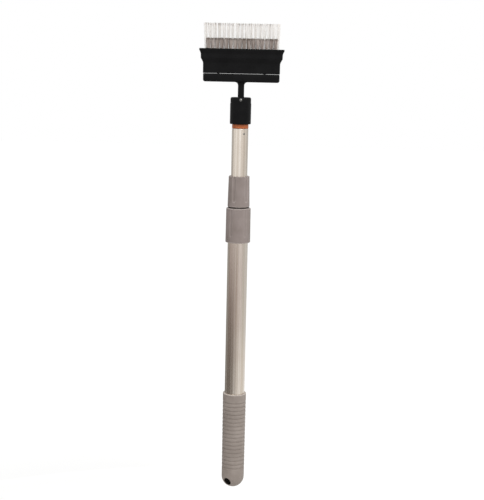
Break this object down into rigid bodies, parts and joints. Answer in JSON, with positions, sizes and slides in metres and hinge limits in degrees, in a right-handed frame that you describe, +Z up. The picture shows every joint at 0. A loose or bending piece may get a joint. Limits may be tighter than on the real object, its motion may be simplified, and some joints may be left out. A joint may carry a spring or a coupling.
{
  "type": "coil cleaning brush",
  "caption": "Coil and fin cleaning brush on a telescopic pole: a flat flared head with long clear and short grey bristles tilts on a forked socket above twist locks and a ribbed grip.",
  "frame": {"origin": "on the pole's axis, in the middle of the ribs of the grip, where the hand holds it", "axes": "+Z up the pole to the bristles, X across the brush head's width, -Y the front, which the picture shows"},
  "size_m": [0.1024, 0.0306, 0.5832],
  "materials": {
    "grip_grey": "matte, soft to the touch",
    "collar_grey": "satin",
    "lock_dark": "matte",
    "tube_aluminium": "satin, with fine draw lines",
    "tip_orange": "semi-gloss",
    "head_black": "fine grain",
    "rivet_steel": "bright",
    "clear_nylon": "clear, slightly milky",
    "grey_nylon": "satin"
  },
  "bodies": {
    "grip_section": {"grip": "grip_grey", "outer_tube": "tube_aluminium", "lower_thread_sleeve": "lock_dark", "lower_collet": "lock_dark"},
    "lower_collar": {"lower_lock_collar": "collar_grey"},
    "middle_guide_ring": {"middle_guide": "lock_dark"},
    "middle_section": {"middle_tube": "tube_aluminium", "upper_thread_sleeve": "lock_dark", "upper_collet": "lock_dark"},
    "upper_collar": {"upper_lock_collar": "collar_grey"},
    "inner_guide_ring": {"inner_guide": "lock_dark"},
    "inner_section": {"inner_tube": "tube_aluminium", "threaded_tip": "tip_orange", "tip_rivet_front": "rivet_steel", "tip_rivet_back": "rivet_steel", "fork_socket": "head_black", "pivot_rivet": "rivet_steel"},
    "brush_head": {"brush_base": "head_black", "bristle_holder": "head_black", "tuft_block": "head_black", "head_screw_left": "rivet_steel", "head_screw_right": "rivet_steel", "long_bristles": "clear_nylon", "front_short_bristles": "grey_nylon", "back_short_bristles": "grey_nylon"}
  },
  "joints": [
    {"name": "lower_collar_turn", "type": "hinge", "parent": "grip_section", "child": "lower_collar", "pos_m": [0, 0, 0.2688], "axis": [0, 0, 1], "range_deg": [0, 120]},
    {"name": "middle_slide", "type": "slide", "parent": "grip_section", "child": "middle_guide_ring", "axis": [0, 0, 1], "range_m": [0, 0.225]},
    {"name": "middle_turn", "type": "hinge", "parent": "middle_guide_ring", "child": "middle_section", "pos_m": [0, 0, -0.0295], "axis": [0, 0, 1], "continuous": true},
    {"name": "upper_collar_turn", "type": "hinge", "parent": "middle_section", "child": "upper_collar", "pos_m": [0, 0, 0.3105], "axis": [0, 0, 1], "range_deg": [0, 120]},
    {"name": "inner_slide", "type": "slide", "parent": "middle_section", "child": "inner_guide_ring", "axis": [0, 0, 1], "range_m": [-0.057, 0.184]},
    {"name": "inner_turn", "type": "hinge", "parent": "inner_guide_ring", "child": "inner_section", "pos_m": [0, 0, 0.0463], "axis": [0, 0, 1], "continuous": true},
    {"name": "head_tilt", "type": "hinge", "parent": "inner_section", "child": "brush_head", "pos_m": [0, 0, 0.4219], "axis": [0, 1, 0], "range_deg": [-90, 90]}
  ]
}
